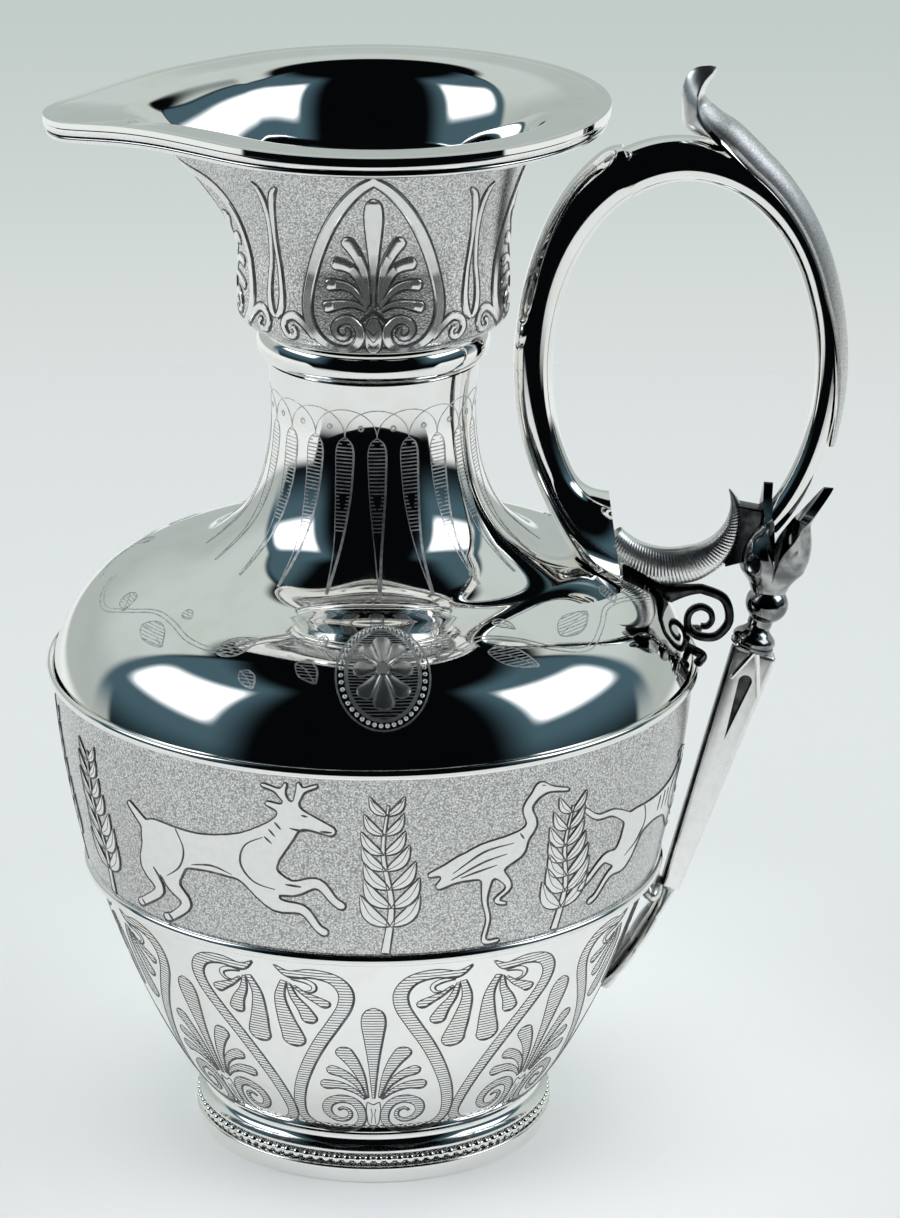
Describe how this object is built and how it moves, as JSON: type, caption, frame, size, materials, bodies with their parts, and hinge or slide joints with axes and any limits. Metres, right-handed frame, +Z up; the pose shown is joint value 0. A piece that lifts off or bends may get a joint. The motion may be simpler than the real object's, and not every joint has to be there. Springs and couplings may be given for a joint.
{
  "type": "cream jug",
  "caption": "Footed silver cream jug with a drawn-out spout, a narrow neck over a round shoulder, and a loop handle carried on a strut, scroll and palmette.",
  "frame": {"origin": "middle of the bounding box in plan, on the plane that the foot stands on; the turning axis lies 11.7 mm from it towards the spout", "axes": "+Z up along the turning axis, +X towards the handle and away from the spout, +Y across the handle's plane"},
  "size_m": [0.1328, 0.1094, 0.1845],
  "materials": {
    "polished_silver": "mirror-polished sterling silver",
    "stippled_silver": "matte stippled silver ground with bright ornament",
    "engraved_silver": "polished silver with line engraving"
  },
  "bodies": {
    "root": {"foot_ring": "polished_silver", "foot_bead_wire": "polished_silver", "lower_bowl": "engraved_silver", "lower_moulding": "polished_silver", "frieze_band": "stippled_silver", "upper_moulding": "polished_silver", "shoulder_neck": "polished_silver", "neck_collar": "polished_silver", "mouth_cup": "stippled_silver", "rim_wire": "polished_silver", "handle_horn": "polished_silver", "handle_stem": "polished_silver", "thumb_leaf": "stippled_silver", "tongue_leaf": "engraved_silver", "tongue_link": "polished_silver", "socket_calyx": "polished_silver", "knop": "polished_silver", "strut_capital": "polished_silver", "strut": "polished_silver", "strut_heel": "polished_silver", "lower_palmette": "engraved_silver", "scroll_bracket": "polished_silver", "bracket_leg_front": "polished_silver", "bracket_leg_back": "polished_silver"}
  },
  "joints": []
}
